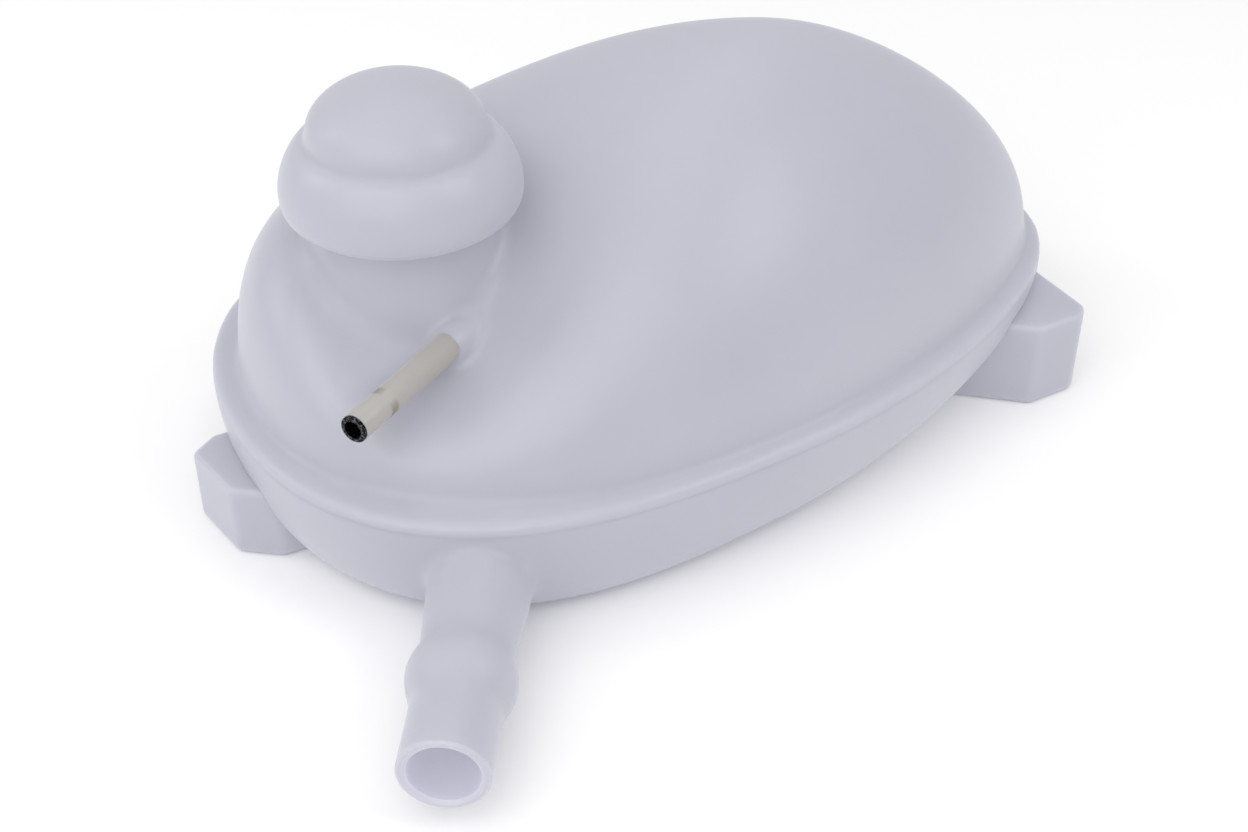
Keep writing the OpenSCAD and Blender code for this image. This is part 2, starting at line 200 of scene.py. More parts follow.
# %% Turned shapes
def level_axes(turn):
    """Three unit vectors: across, up and along. With no turn, along is +Z."""
    if turn is None:
        return np.eye(3)
    along = np.array([np.cos(turn), np.sin(turn), 0])
    up = np.array([0.0, 0, 1])
    return np.cross(up, along), up, along


def turned(profile, centre, turn=None, columns=128):
    """Spins a profile of (radius, height) rows round +Z at centre, or round a level axis that points
    turn radians from +X, with the height measured along it."""
    profile = np.asarray(profile, float)
    a = np.linspace(0, 2 * np.pi, columns, endpoint=False)
    ring = profile[:, :1, None] * np.stack([np.cos(a), np.sin(a)], -1)[None]
    across, up, along = level_axes(turn)
    return (np.asarray(centre) + ring[..., :1] * across + ring[..., 1:] * up
            + profile[:, 1, None, None] * along)


print("a level axis at 0 degrees points along", level_axes(0.0)[2])

# %% [markdown]
# Where the dome stands on the ledge, the mould has a hollow radius, wider at the neck end. A bevel
# can't reach this corner, because the two surfaces are separate parts that only cross. A ring of
# its own fills the corner, and the melt further down joins it to both.

# %% The hollow radius on the ledge
FILLET_REACH, FILLET_SWING, FILLET_ROWS = 0.0022, 0.0009, 14
FILLET_SINK, FILLET_IN, FILLET_TOP = 0.0012, 0.004, 0.001  # how deep the ring is rooted


def ledge_fillet(t):
    """A closed ring in the corner between the dome's wall and the weld ledge. Its outside is a
    quadratic curve from the wall, reach above the corner, to the ledge, reach away from it."""
    reach = FILLET_REACH - FILLET_SWING * np.cos(t)
    wall = dome(np.arcsin(reach / DOME_RISE), t)
    corner = dome(np.zeros_like(t), t)
    foot = dome(np.zeros_like(t), t, -reach)
    k = np.linspace(0, 1, FILLET_ROWS)[:, None, None]
    curve = (1 - k) ** 2 * wall + 2 * k * (1 - k) * corner + k**2 * foot
    inside = dome(np.zeros_like(t), t, FILLET_IN)
    inside[:, 2] = ROOT_Z
    roots = [foot - (0, 0, FILLET_SINK), inside - (0, 0, FILLET_SINK), inside + (0, 0, FILLET_TOP)]
    return np.concatenate([curve, np.stack(roots)])


print("rows of the radius:", len(ledge_fillet(AROUND)))

# %% [markdown]
# The neck and the spigot don't leave the shells at sharp corners: the plastic flows out of the wall
# in a wide hollow radius. To find that foot, the shell is looked at along the tube's own axis, like a
# relief map, and a curved skirt is laid between the tube and the map.

# %% The relief map of a shell
MAP_HALF, MAP_STEP = 0.045, 0.0006  # half the map's side, and one cell's
MAP_DEPTH = 0.03  # nothing in the map lies deeper below its middle
EMPTY = -1.0


def relief_map(surface, centre, axes):
    """The furthest reach of the surface along the tube's axis, in square cells across it."""
    across, up, along = axes
    local = surface.reshape(-1, 3) - np.asarray(centre)
    v, w, s = local @ across, local @ up, local @ along
    keep = (np.abs(v) < MAP_HALF) & (np.abs(w) < MAP_HALF)
    cells = int(2 * MAP_HALF / MAP_STEP) + 1
    i = ((v[keep] + MAP_HALF) / MAP_STEP).astype(int)
    j = ((w[keep] + MAP_HALF) / MAP_STEP).astype(int)
    reach = np.full((cells, cells), EMPTY)
    np.maximum.at(reach, (i, j), s[keep])
    return np.maximum(reach, np.median(reach[reach > EMPTY]) - MAP_DEPTH)


def read_map(reach, v, w):
    """The map's value at the cell that holds (v, w), as the mean of nine cells."""
    i = np.clip(((v + MAP_HALF) / MAP_STEP).astype(int), 1, len(reach) - 2)
    j = np.clip(((w + MAP_HALF) / MAP_STEP).astype(int), 1, len(reach) - 2)
    near = [reach[i + a, j + b] for a in (-1, 0, 1) for b in (-1, 0, 1)]
    return np.mean(near, 0)


print("cells of the map:", int(2 * MAP_HALF / MAP_STEP) + 1, "each way")

# %% [markdown]
# The skirt is a closed ring, so that it can be melted together with the tube and the shell. Only its
# curved outside will show. The rest of it hides inside the wall and the tube.

# %% The curved foot of a tube
SKIRT_COLUMNS, SKIRT_ROWS = 192, 20
SKIRT_SINK, SKIRT_INNER = 0.006, 0.6  # how deep it is rooted, and the share of the tube's radius
DENSE_U = np.linspace(0, np.pi / 2, 500)[:, None]
DENSE_T = np.linspace(0, 2 * np.pi, 1600, endpoint=False)[None]


def foot_skirt(name, surface, centre, turn, radius, blend):
    """A ring whose outside is a quadratic curve: from the tube, blend above the corner, to the shell,
    blend away from the tube, with the corner as its middle point."""
    axes = level_axes(turn)
    reach = relief_map(surface, centre, axes)
    a = np.linspace(0, 2 * np.pi, SKIRT_COLUMNS, endpoint=False)
    corner = read_map(reach, radius * np.cos(a), radius * np.sin(a))
    far = radius + blend
    foot = read_map(reach, far * np.cos(a), far * np.sin(a))
    k = np.linspace(0, 1, SKIRT_ROWS)[:, None]
    r = (1 - k) ** 2 * radius + 2 * k * (1 - k) * radius + k**2 * far
    s = (1 - k) ** 2 * (corner + blend) + 2 * k * (1 - k) * corner + k**2 * foot
    inner = radius * SKIRT_INNER
    r = np.vstack([r, [[far], [inner], [inner]]])
    low = np.minimum(corner, foot) - SKIRT_SINK
    s = np.vstack([s, foot - SKIRT_SINK, low, corner + blend])
    across, up, along = axes
    points = (np.asarray(centre) + (r * np.cos(a))[..., None] * across
              + (r * np.sin(a))[..., None] * up + s[..., None] * along)
    return grid_mesh(name, points, wrap_rows=True)


print("points that a map is made from:", DENSE_U.size * DENSE_T.size)

# %% [markdown]
# ## The outer form
# The two shells are welded, so the plastic runs from one into the other without a step. All parts of
# both are therefore made first, as closed solids that cross each other, and melted into one skin
# further down. The neck tapers up from the dome and ends in a wider head for the cap's thread.

# %% Upper shell and neck
NECK_CENTRE = (-0.060, 0, 0)
MOUTH_Z = 0.084
NECK_R = 0.0175
HEAD_R, HEAD_Z = 0.0204, 0.073
NECK_FOOT_R, NECK_BLEND = 0.0188, 0.008

rings = np.linspace(0, 1, 90)[:, None] ** 1.05 * np.radians(89)
dome_part = grid_mesh("dome_part", dome(rings, AROUND[None]))
flange_part = grid_mesh("flange_part", flange([WELD_Z - FLANGE_T, ROOT_Z], AROUND))
fillet_part = grid_mesh("fillet_part", ledge_fillet(AROUND), wrap_rows=True)
neck_profile = [(0.0219, 0.036), (0.0185, 0.058), (NECK_R, 0.066), (NECK_R, HEAD_Z - 0.002),
                (HEAD_R, HEAD_Z), (HEAD_R, MOUTH_Z - 0.0004), (HEAD_R - 0.0006, MOUTH_Z)]
neck_part = grid_mesh("neck_part", turned(neck_profile, NECK_CENTRE))
dense_dome = dome(DENSE_U, DENSE_T)
neck_foot = foot_skirt("neck_foot", dense_dome, NECK_CENTRE, None, NECK_FOOT_R, NECK_BLEND)
print("neck mouth at:", MOUTH_Z, "m")

# %% [markdown]
# The bleed nipple leaves the foot of the neck level with the ground. Its root is a tapered boss that
# belongs to the shell's own moulding. The free tube beyond it comes later, as a piece of its own.

# %% Boss of the bleed nipple
NIPPLE_TURN, NIPPLE_OFF, NIPPLE_Z = np.radians(212.9), 0.0188, 0.0495
NIPPLE_FREE = 0.0150  # where the boss ends, along the nipple

nipple_start = np.array([NECK_CENTRE[0] - NIPPLE_OFF * np.sin(NIPPLE_TURN),
                         NIPPLE_OFF * np.cos(NIPPLE_TURN), NIPPLE_Z])
boss_profile = [(0.0050, 0.0), (0.0042, NIPPLE_FREE - 0.004), (0.0036, NIPPLE_FREE)]
nipple_boss = grid_mesh("nipple_boss", turned(boss_profile, nipple_start, NIPPLE_TURN, 48))
print("nipple starts at:", nipple_start.round(4))

# %% [markdown]
# The outlet spigot leaves the lower shell level with the ground and swells into a soft bead, which
# holds the hose. The melt would round its end off, so the spigot is made 4 mm too long here, and
# trimmed with the bores.

# %% Lower shell and spigot
SPIGOT_ROOT = np.array([-0.0723, -0.0602, 0.014])
SPIGOT_TURN = np.radians(238.7)
SPIGOT_R, SPIGOT_BORE = 0.0090, 0.0070
SPIGOT_LENGTH, SPIGOT_SPARE = 0.047, 0.004
BEAD_START, BEAD_LENGTH, BEAD_RISE = 0.0164, 0.014, 0.0020
SPIGOT_FOOT_R, SPIGOT_BLEND = 0.0105, 0.002

bead = np.linspace(0, 1, 17)
bead_rows = np.stack([SPIGOT_R + 0.0005 * (1 - bead) + BEAD_RISE * np.sin(np.pi * bead) ** 1.2,
                      BEAD_START + BEAD_LENGTH * bead], -1)
spigot_profile = np.vstack([[(0.0107, -0.022), (0.0107, 0), (0.0095, BEAD_START - 0.0005)], bead_rows,
                            [(SPIGOT_R + 0.0001, SPIGOT_LENGTH + SPIGOT_SPARE)]])
spigot_part = grid_mesh("spigot_part", turned(spigot_profile, SPIGOT_ROOT, SPIGOT_TURN))
bowl_rings = bowl(np.linspace(0, np.pi / 2, 40)[:, None], AROUND[None])[::-1]
bowl_part = grid_mesh("bowl_part", bowl_rings)
dense_bowl = bowl(DENSE_U, DENSE_T)
spigot_foot = foot_skirt("spigot_foot", dense_bowl, SPIGOT_ROOT, SPIGOT_TURN, SPIGOT_FOOT_R, SPIGOT_BLEND)
print("bead radius:", bead_rows[:, 0].max().round(4))

# %% [markdown]
# The two mounting lugs are plain blocks under the flange, with slanting corners and slightly broken
# edges. The melt would wear such small blocks down, so each one is a bevelled prism that is joined to
# the finished skin.

# %% Mounting lugs
LUG_BEVEL, LUG_BEVEL_STEPS = 0.0014, 4
NEAR_PLACE, NEAR_HEIGHT = (-0.1105, 0.0), 0.0175
NEAR_OUTLINE = [(0.030, 0.0130), (0.006, 0.0130), (0.0001, 0.0088), (0.0033, -0.0080),
                (0.0117, -0.0141), (0.030, -0.0141)]
FAR_PLACE, FAR_HEIGHT = (0.094, -0.03175), 0.022
FAR_OUTLINE = [(0.001, 0.0198), (0.0018, -0.0078), (-0.0014, -0.0109), (-0.0138, -0.0115),
               (-0.029, 0.0008), (-0.031, 0.0198)]


def lug_part(name, place, outline, height):
    """A prism over the outline, up to the height: two rows of the same corners."""
    corners = np.asarray(outline, float) + np.asarray(place)
    rows = [np.column_stack([corners, np.full(len(corners), z)]) for z in (0.0, height)]
    lug = outward(grid_mesh(name, np.stack(rows)))
    bevel = lug.modifiers.new("bevel", "BEVEL")
    bevel.width, bevel.segments, bevel.limit_method = LUG_BEVEL, LUG_BEVEL_STEPS, "ANGLE"
    return lug


near_lug = lug_part("near_lug", NEAR_PLACE, NEAR_OUTLINE, NEAR_HEIGHT)
far_lug = lug_part("far_lug", FAR_PLACE, FAR_OUTLINE, FAR_HEIGHT)
print("lug corners:", len(NEAR_OUTLINE), "and", len(FAR_OUTLINE))

# %% [markdown]
# Soft moulded edges are the mark of this tank. The parts are joined, a voxel remesh turns them into
# one skin of even quads, and a smoothing pass repeated many times rounds every edge alike.

# %% Melt the parts together
VOXEL = 0.0008
ROUNDING = 0.0050
RELAX_FACTOR = 0.5


def melted(name, parts, voxel, passes):
    """Joins closed parts into one skin of even quads, then relaxes it, which rounds all its edges."""
    select_only(parts)
    bpy.ops.object.join()
    skin = parts[0]
    skin.name = skin.data.name = name
    outward(skin)
    remesh = skin.modifiers.new("melt", "REMESH")
    remesh.mode, remesh.voxel_size = "VOXEL", voxel
    relax = skin.modifiers.new("relax", "SMOOTH")
    relax.factor, relax.iterations = RELAX_FACTOR, passes
    bpy.ops.object.convert(target="MESH")
    outward(skin)
    print(name, "faces:", len(skin.data.polygons))
    return skin


melt_parts = [dome_part, flange_part, fillet_part, neck_part, neck_foot, nipple_boss, bowl_part,
              spigot_part, spigot_foot]
tank = melted("tank_skin", melt_parts, VOXEL, round((ROUNDING / VOXEL) ** 2))

# %% [markdown]
# The lugs are joined to the skin, and the bores are cut, only after the melt, so that their rims stay
# crisp. The cutters are turned shapes too: the neck's bore, the spigot's bore with the collar that
# trims its end, and a blind socket in the underside of each lug. Boolean modifiers do the work.

# %% Join the lugs and cut the bores
END, TRIM = SPIGOT_LENGTH, SPIGOT_LENGTH - 0.0007
SOCKET_R, SOCKET_DEPTH = 0.0045, 0.012
SOCKET_PLACES = [(-0.1005, 0.0005), (0.084, -0.032)]

neck_bore = [(0.0193, 0.040), (0.0155, 0.066), (0.0155, MOUTH_Z - 0.0008), (0.0163, MOUTH_Z),
             (0.0163, MOUTH_Z + 0.002)]
spigot_bore = [(SPIGOT_BORE, -0.0115), (SPIGOT_BORE, END - 0.0006), (SPIGOT_BORE + 0.0006, END),
               (SPIGOT_R - 0.0005, END), (SPIGOT_R + 0.0002, TRIM), (0.014, TRIM), (0.014, END + 0.007)]
socket = [(SOCKET_R, -0.002), (SOCKET_R, SOCKET_DEPTH)]
cutters = [grid_mesh("neck_cutter", turned(neck_bore, NECK_CENTRE, columns=96)),
           grid_mesh("spigot_cutter", turned(spigot_bore, SPIGOT_ROOT, SPIGOT_TURN, 96))]
cutters += [grid_mesh("socket_cutter", turned(socket, (x, y, 0), columns=48)) for x, y in SOCKET_PLACES]
tools = [(near_lug, "UNION"), (far_lug, "UNION")]
tools += [(outward(cutter), "DIFFERENCE") for cutter in cutters]
for tool, way in tools:
    step = tank.modifiers.new(way, "BOOLEAN")
    step.operation, step.solver, step.object = way, "MANIFOLD", tool
select_only([tank])
bpy.ops.object.convert(target="MESH")
for tool, way in tools:
    bpy.data.objects.remove(tool)
print("tank faces after the cuts:", len(tank.data.polygons))

# %% [markdown]
# The real shells meet at the weld, so the skin is cut in two at that plane, and each half is closed.
# Each half replaces its solid, which stays hidden in the frame. Edges sharper than 40 degrees stay
# crisp in the shading.

# %% Split at the weld
CREASE_ANGLE = np.radians(40)


def half_of(source, name, upper):
    """A closed copy of the part of the skin above, or below, the plane of the weld."""
    work = bmesh.new()
    work.from_mesh(source.data)
    whole = work.verts[:] + work.edges[:] + work.faces[:]
    cut = bmesh.ops.bisect_plane(work, geom=whole, dist=1e-7, plane_co=(0, 0, WELD_Z), plane_no=(0, 0, 1),
                                 clear_inner=upper, clear_outer=not upper)
    rim = [e for e in cut["geom_cut"] if isinstance(e, bmesh.types.BMEdge)]
    bmesh.ops.holes_fill(work, edges=rim)
    mesh = bpy.data.meshes.new(name)
    work.to_mesh(mesh)
    work.free()
    piece = bpy.data.objects.new(name, mesh)
    scene.collection.objects.link(piece)
    return piece


upper_skin = half_of(tank, "upper_skin", True)
lower_skin = half_of(tank, "lower_skin", False)
bpy.data.objects.remove(tank)
for skin, node in [(upper_skin, "upper_shell"), (lower_skin, "lower_shell")]:
    skin.data.polygons.foreach_set("use_smooth", np.ones(len(skin.data.polygons), bool))
    skin.data.set_sharp_from_angle(angle=CREASE_ANGLE)
    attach(skin, "tank")
    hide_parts(node)
    print(skin.name, "faces:", len(skin.data.polygons))

# %% [markdown]
# The free end of the bleed nipple is a thin tube, finer than the melt could keep. Its wall is one
# closed profile, spun round: out along the outside, back along the bore. A metal sleeve, which is a
# solid of its own, keeps its mouth round under the hose clip.

# %% Bleed nipple
NIPPLE_R, NIPPLE_BORE = 0.0030, 0.0023
NIPPLE_RUN = 0.0453  # from the start to the tip
NIPPLE_ROOT = NIPPLE_FREE - 0.003
NIPPLE_CREASE = np.radians(35)

nipple_wall = [(NIPPLE_BORE, NIPPLE_ROOT), (NIPPLE_R + 0.0003, NIPPLE_ROOT), (NIPPLE_R, NIPPLE_RUN - 0.016),
               (NIPPLE_R, NIPPLE_RUN - 0.0003), (NIPPLE_R - 0.0002, NIPPLE_RUN), (NIPPLE_BORE, NIPPLE_RUN)]
nipple_points = turned(nipple_wall, nipple_start, NIPPLE_TURN, 64)
bleed_nipple = outward(grid_mesh("bleed_nipple_skin", nipple_points, wrap_rows=True))
bleed_nipple.data.set_sharp_from_angle(angle=NIPPLE_CREASE)
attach(bleed_nipple, "tank")
print("nipple faces:", len(bleed_nipple.data.polygons))

# %% [markdown]
# ## The cap
# The cap is one turned shape: a belled skirt that narrows to a soft groove, and a dome on top. A
# mould has no sharp corners, so the profile is blurred along its length before it is spun. A bevel
# would give every corner one radius, while a blur lets the bell flow into the dome.

# %% Curves for the cap's profile
def quarter(r_out, r_in, z_low, z_high, power=1.0, rows=24):
    """From (r_out, z_low) to (r_in, z_high) along a quarter of a superellipse."""
    a = np.linspace(0, np.pi / 2, rows)
    r = r_in + (r_out - r_in) * np.cos(a) ** power
    return np.stack([r, z_low + (z_high - z_low) * np.sin(a) ** power], -1)


def softened(profile, spread, step=0.0002):
    """The profile at even steps, blurred along its length with a bell curve of that spread."""
    profile = np.asarray(profile, float)
    run = np.concatenate([[0], np.cumsum(np.hypot(*np.diff(profile, axis=0).T))])
    even = np.arange(0, run[-1], step)
    rows = np.stack([np.interp(even, run, profile[:, k]) for k in (0, 1)], -1)
    reach = int(3 * spread / step)
    weights = np.exp(-0.5 * (np.arange(-reach, reach + 1) * step / spread) ** 2)
    weights /= weights.sum()
    padded = np.vstack([2 * rows[0] - rows[reach:0:-1], rows, 2 * rows[-1] - rows[-2:-reach - 2:-1]])
    return np.stack([np.convolve(padded[:, k], weights, "valid") for k in (0, 1)], -1)


print("a quarter ends at:", quarter(2.0, 1.0, 0.0, 3.0)[-1].round(4))

# %% [markdown]
# The inside follows the outside at the thickness of the wall, so the cap is a real cup over the neck,
# with a lip at the groove. One closed profile holds outside and inside.

# %% Cap
CAP_R, CAP_WALL = 0.0253, 0.0025
SKIRT_Z, GROOVE_Z, DOME_Z = 0.072, 0.0872, 0.0886
CAP_DOME_R, CAP_DOME_RISE = 0.0187, 0.0108
SHOULDER_R, SHOULDER_Z = CAP_DOME_R + 0.0006, SKIRT_Z + 0.0050
EDGE_R, EDGE_H = 0.0021, 0.0034  # how far the skirt's lower edge turns in, and over what height
LIP_R, LIP_Z = 0.0146, 0.0863
BELL_POWER, BELL_INSIDE_POWER = 1.3, 1.15
CAP_SOFTNESS = 0.0006
POLE_R = 1e-5

edge = quarter(EDGE_R, 0, 0, EDGE_H)[::-1] * (1, -1) + (CAP_R - EDGE_R, SKIRT_Z + EDGE_H)
bell = quarter(CAP_R, SHOULDER_R, SHOULDER_Z, GROOVE_Z, BELL_POWER)
top = quarter(CAP_DOME_R, 0, DOME_Z, DOME_Z + CAP_DOME_RISE, rows=60)
outside = softened(np.vstack([edge, bell, top]), CAP_SOFTNESS)
outside[-1, 0] = POLE_R
under = quarter(CAP_DOME_R - CAP_WALL, POLE_R, DOME_Z, DOME_Z + CAP_DOME_RISE - CAP_WALL, rows=30)
lip = [(CAP_DOME_R - CAP_WALL, DOME_Z), (LIP_R, DOME_Z), (LIP_R, LIP_Z)]
skirt_inside = quarter(CAP_R - CAP_WALL, SHOULDER_R - 0.0005, SHOULDER_Z, LIP_Z, BELL_INSIDE_POWER)
rim = [(CAP_R - CAP_WALL, SKIRT_Z + 0.0004)]
cap_profile = np.vstack([outside, under[::-1], lip, skirt_inside[::-1], rim])
cap_points = turned(cap_profile, NECK_CENTRE, columns=144)
cap_skin = outward(grid_mesh("cap_skin", cap_points, wrap_rows=True))
cap_skin.data.set_sharp_from_angle(angle=CREASE_ANGLE)
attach(cap_skin, "cap")
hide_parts("cap_shell")
print("cap faces:", len(cap_skin.data.polygons))

# %% [markdown]
# The cap's thread has two starts and climbs 8 mm a turn, so one turn frees the cap. The neck and the
# cap each carry two ridges that lie between one another. Each ridge is a small profile carried along
# a helix, and it sinks back into the wall at both ends, as a moulded thread does.

# %% Screw threads
THREAD_CLIMB, THREAD_SHARE, THREAD_STARTS = 0.008, 0.8, 2
THREAD_Z = 0.0755
FADE_ANGLE = 0.35
RIDGE = np.array([(-0.3, -0.0010), (-0.3, 0.0010), (0.0, 0.0010), (0.75, 0.00055), (1.0, 0.0003),
                  (1.0, -0.0003), (0.75, -0.00055), (0.0, -0.0010)])  # share of the depth, height


def thread(name, root_r, crest_r, low, high):
    """Ridges from radius root_r to crest_r. Ridge n starts at angle 2 pi n / starts at height low, and
    climbs evenly to high, with its crest sinking back to the root at both ends."""
    a = np.linspace(0, 2 * np.pi * THREAD_SHARE, 120)[:, None]
    fade = np.clip(np.minimum(a, a[-1] - a) / FADE_ANGLE, 0, 1) ** 0.5
    share, height = RIDGE.T
    ridges = []
    for start in range(THREAD_STARTS):
        turn = a + 2 * np.pi * start / THREAD_STARTS
        r = root_r + (crest_r - root_r) * np.where(share > 0, share * fade, share)
        z = low + (high - low) * a / a[-1] + height
        points = np.stack([NECK_CENTRE[0] + r * np.cos(turn), r * np.sin(turn), z], -1)
        ridges.append(grid_mesh(name, points))
    select_only(ridges)
    bpy.ops.object.join()
    return outward(ridges[0])


climb = THREAD_CLIMB * THREAD_SHARE
cap_thread_z = THREAD_Z - THREAD_CLIMB / 4
neck_thread = thread("neck_thread", HEAD_R, 0.0220, THREAD_Z, THREAD_Z + climb)
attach(neck_thread, "tank")
cap_thread = thread("cap_thread", CAP_R - CAP_WALL, 0.0210, cap_thread_z, cap_thread_z + climb)
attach(cap_thread, "cap")
print("thread faces:", len(neck_thread.data.polygons), len(cap_thread.data.polygons))

# %% [markdown]
# ## Materials
# A material is a small network of nodes that ends in one Principled shader. Colours are written as
# on screen, in hex, and turned to the linear values that Blender reckons with. All patterns read
# Object coordinates, which stay on the piece when it moves.

# %% Material helpers
def hex_linear(code):
    """An sRGB hex colour as linear red, green, blue and alpha."""
    c = np.array([int(code[i:i + 2], 16) for i in (1, 3, 5)]) / 255
    c = np.where(c <= 0.04045, c / 12.92, ((c + 0.055) / 1.055) ** 2.4)
    return (*[float(v) for v in c], 1.0)


def add_node(tree, kind, links=(), **settings):
    """Adds a node, sets its properties or its named inputs, and links (from_socket, input name)."""
    node = tree.nodes.new(kind)
    for key, value in settings.items():
        if hasattr(node, key):
            setattr(node, key, value)
        else:
            node.inputs[key.replace("_", " ")].default_value = value
    for source, name in links:
        tree.links.new(source, node.inputs[name])
    return node


def new_material(name):
    """An empty node material with its Principled shader and its Object coordinates."""
    material = bpy.data.materials.new(name)
    material.use_nodes = True
    tree = material.node_tree
    shader = tree.nodes["Principled BSDF"]
    place = add_node(tree, "ShaderNodeTexCoord").outputs["Object"]
    return material, tree, shader, place


def dress(piece, material):
    """Gives a piece one material in all its slots."""
    piece.data.materials.clear()
    piece.data.materials.append(material)


print("mid grey is", round(hex_linear("#808080")[0], 3), "in linear light")

# %% [markdown]
# The tank is natural polypropylene, injection moulded: no pigment, so light soaks in, scatters and
# comes out again some millimetres away. That gives the milky, slightly lilac white with hardly any
# dark shade. Subsurface scattering does this near the surface. The skin here is filled, so a weak
# glow, which is painted light, stands for the light that bounces about in the hollow tank and comes
# back out of its wall. It also lifts the shade in creases and corners.

# %% Milky plastic
# painted light: the glow of the whole wall, and the extra glow painted into the spigot's bore
GLOW, BORE_PAINTED_LIGHT = 0.34, 0.30  # of the whole wall, and what is added to it in a lit bore
# painted shade: the brown-grey of the band where the dark sleeve sits behind the nipple's thin wall
SLEEVE_SHADE = "#7C746C"
CLOUD_SCALE = 22.0  # clouds of flow about 45 mm wide
MOTTLE_SCALE = 90.0  # patches of gloss about 11 mm wide
PEEL_SCALE = 420.0  # orange peel with dimples about 2.4 mm wide
POLYMER_IOR = 1.49


def milky_plastic(name, light, dark, depth, roughness, painted_shade=None, lit=None):
    """Injection-moulded natural polymer: cloudy flow in the colour, a faint orange peel, and light
    that soaks in to the depth. The optional mask that darkens the colour is painted shade, and lit is
    where the painted light of the glow is stronger."""
    material, tree, shader, place = new_material(name)
    cloud = add_node(tree, "ShaderNodeTexNoise", [(place, "Vector")], Scale=CLOUD_SCALE, Detail=3.0,
                     Roughness=0.5)
    tone = add_node(tree, "ShaderNodeMix", [(cloud.outputs["Fac"], "Factor")], data_type="RGBA",
                    A=hex_linear(dark), B=hex_linear(light)).outputs["Result"]
    # painted shade: the sleeve's band darkens the colour towards the brown-grey shade
    if painted_shade:
        tone = add_node(tree, "ShaderNodeMix", [(painted_shade(tree, place), "Factor"), (tone, "A")],
                        data_type="RGBA", B=hex_linear(SLEEVE_SHADE)).outputs["Result"]
    tree.links.new(tone, shader.inputs["Base Color"])
    peel = add_node(tree, "ShaderNodeTexNoise", [(place, "Vector")], Scale=PEEL_SCALE, Detail=2.0)
    bump = add_node(tree, "ShaderNodeBump", [(peel.outputs["Fac"], "Height")], Strength=0.06,
                    Distance=0.0004)
    tree.links.new(bump.outputs["Normal"], shader.inputs["Normal"])
    mottle = add_node(tree, "ShaderNodeTexNoise", [(place, "Vector")], Scale=MOTTLE_SCALE, Detail=4.0)
    rough = add_node(tree, "ShaderNodeMapRange", [(mottle.outputs["Fac"], "Value")],
                     To_Min=roughness - 0.04, To_Max=roughness + 0.05)
    tree.links.new(rough.outputs["Result"], shader.inputs["Roughness"])
    shader.inputs["IOR"].default_value = POLYMER_IOR
    shader.inputs["Subsurface Weight"].default_value = 0.7
    shader.inputs["Subsurface Radius"].default_value = (1.0, 0.95, 0.9)
    shader.inputs["Subsurface Scale"].default_value = depth
    # painted light: the wall glows in its own colour
    tree.links.new(tone, shader.inputs["Emission Color"])
    shader.inputs["Emission Strength"].default_value = GLOW
    if lit:
        # painted light: the glow grows stronger where the bore's mask is 1
        more = add_node(tree, "ShaderNodeMapRange", [(lit(tree, place), "Value")],
                        To_Min=GLOW, To_Max=GLOW + BORE_PAINTED_LIGHT)
        tree.links.new(more.outputs["Result"], shader.inputs["Emission Strength"])
    return material


print("glow:", GLOW, "in the wall and", GLOW + BORE_PAINTED_LIGHT, "in the spigot's bore")

# %% [markdown]
# Two places differ from the rest of the wall. Painted light brightens the spigot's bore, for the light
# that comes through its thin wall. On the nipple, painted shade makes two brown-grey bands where the
# dark metal sleeve ends inside. A painted texture could hold both, but a mask worked out from the
# place of a point stays sharp at any size.

# %% Masks for the painted light in the bore and the painted shade at the sleeve's end
BORE_FADE = (0.0079, 0.0071)  # the radii where the glow of the bore starts and is full
SLEEVE_LENGTH = 0.0093  # from the nipple's tip to the sleeve's inner end
BAND_FADE = (0.0014, 0.0008)  # half widths of the band, from none to full
SIDE_FADE = (0.0010, 0.0026)  # distances from the nipple's middle plane, from none to full
SIDE_ACROSS, SIDE_UP = -0.83, 0.55


def in_spigot(tree, place):
    """Where painted light brightens the bore: 1 inside the spigot's bore, and 0 outside it, from the
    distance to the spigot's axis: the length of the cross product of the axis and the offset from the
    spigot's root."""
    offset = add_node(tree, "ShaderNodeVectorMath", [(place, 0)], operation="SUBTRACT")
    offset.inputs[1].default_value = tuple(SPIGOT_ROOT)
    crossed = add_node(tree, "ShaderNodeVectorMath", [(offset.outputs["Vector"], 0)],
                       operation="CROSS_PRODUCT")
    crossed.inputs[1].default_value = tuple(level_axes(SPIGOT_TURN)[2])
    away = add_node(tree, "ShaderNodeVectorMath", [(crossed.outputs["Vector"], 0)], operation="LENGTH")
    fade = add_node(tree, "ShaderNodeMapRange", [(away.outputs["Value"], "Value")],
                    From_Min=BORE_FADE[0], From_Max=BORE_FADE[1])
    return fade.outputs["Result"]


